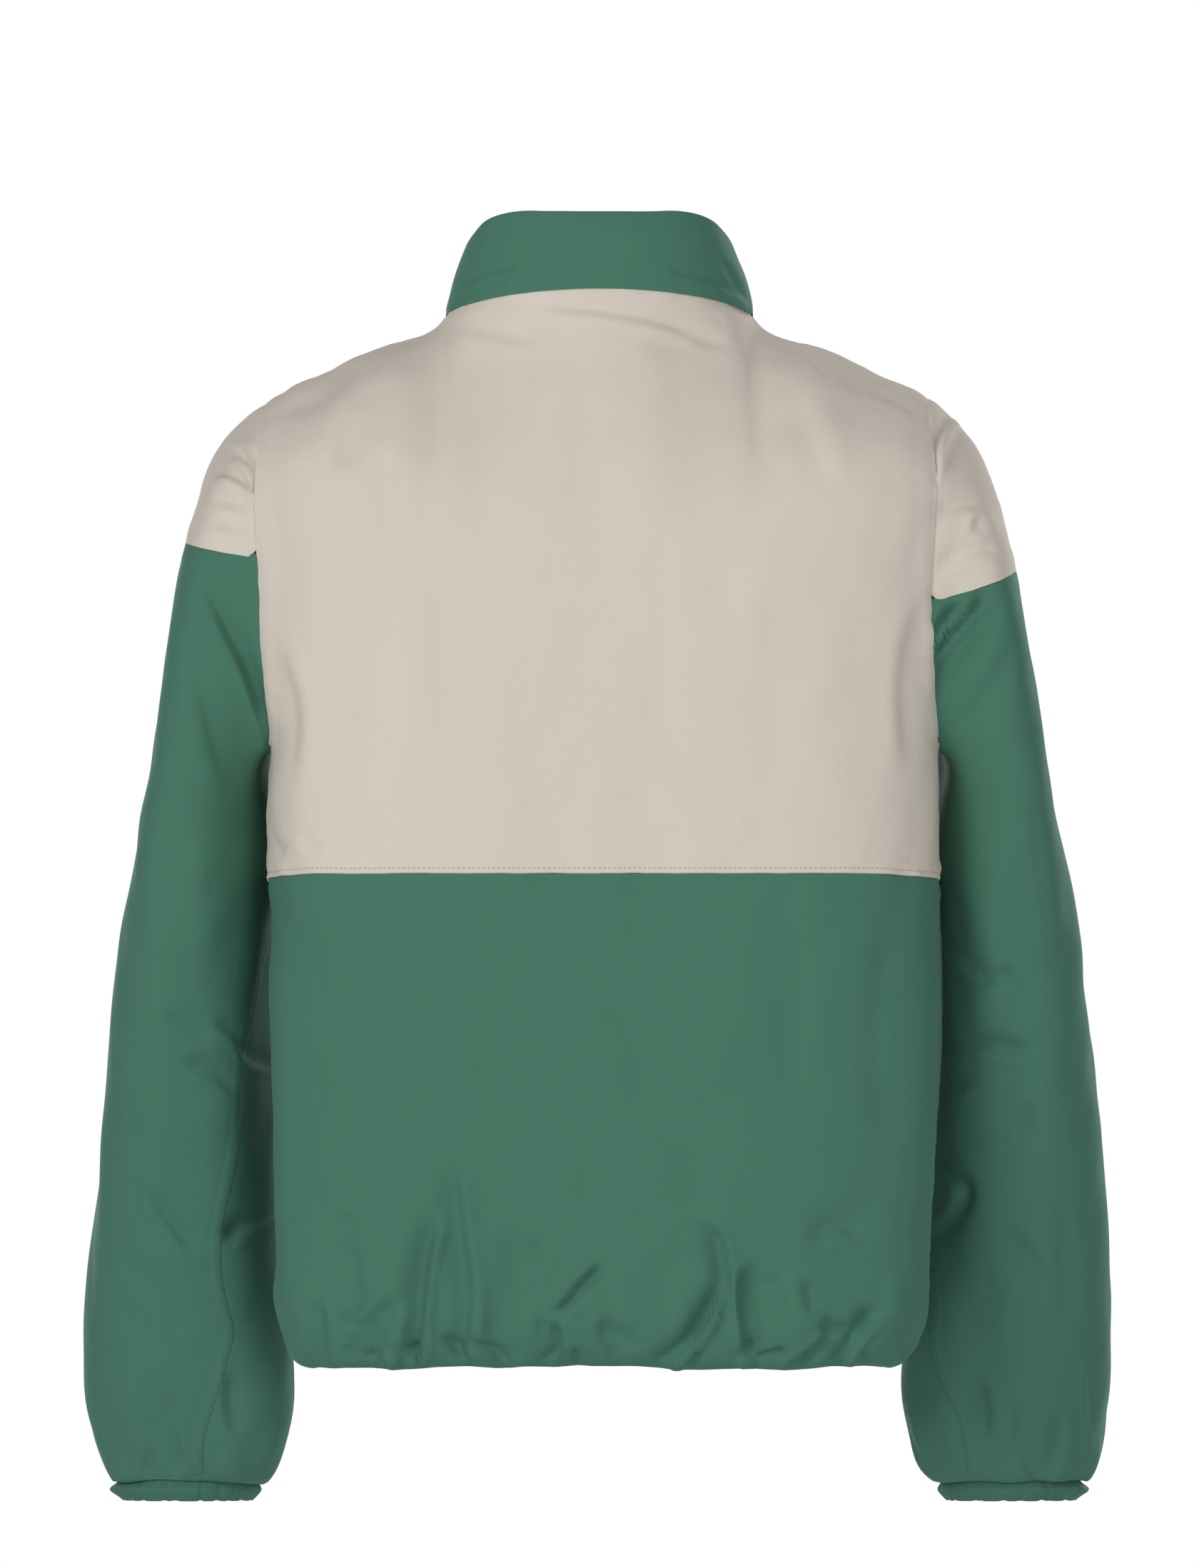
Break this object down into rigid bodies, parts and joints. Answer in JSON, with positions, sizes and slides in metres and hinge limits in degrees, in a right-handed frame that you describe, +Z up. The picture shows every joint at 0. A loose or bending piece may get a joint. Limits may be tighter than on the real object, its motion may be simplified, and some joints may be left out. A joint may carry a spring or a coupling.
{
  "type": "lightly padded bomber-style jacket",
  "caption": "Lightly padded two-colour zip jacket with a stand collar, cream yoke and caps, green lower body and sleeves, gathered hem and elastic cuffs, filled out as worn.",
  "frame": {"origin": "the middle of the neck, at the height where the two shoulder lines meet it, where the wearer's neck and shoulders hold the jacket", "axes": "+Z up, -Y the way the jacket's front faces, so its back faces +Y, and +X towards the jacket's own left sleeve"},
  "size_m": [0.5962, 0.2864, 0.744],
  "materials": {
    "cream_cloth": "soft matt padded shell cloth, cream",
    "green_cloth": "soft matt padded shell cloth, muted green",
    "cuff_cloth": "gathered elastic casing in the green cloth",
    "zip_tape": "woven zip tape, muted green",
    "zip_metal": "satin zip metal"
  },
  "bodies": {
    "jacket": {"back_yoke": "cream_cloth", "front_yoke_left": "cream_cloth", "front_yoke_right": "cream_cloth", "sleeve_cap_left": "cream_cloth", "sleeve_cap_right": "cream_cloth", "back_lower": "green_cloth", "front_lower_left": "green_cloth", "front_lower_right": "green_cloth", "collar": "green_cloth", "sleeve_left": "green_cloth", "sleeve_right": "green_cloth", "cuff_left": "cuff_cloth", "cuff_right": "cuff_cloth", "zip_tape_left": "zip_tape", "zip_tape_right": "zip_tape", "zip_slider": "zip_metal"},
    "zip_pull": {"zip_pull": "zip_metal"}
  },
  "joints": [
    {"name": "pull_swing", "type": "hinge", "parent": "jacket", "child": "zip_pull", "pos_m": [0, -0.08805, 0.004], "axis": [-1, 0, 0], "range_deg": [0, 150]}
  ]
}
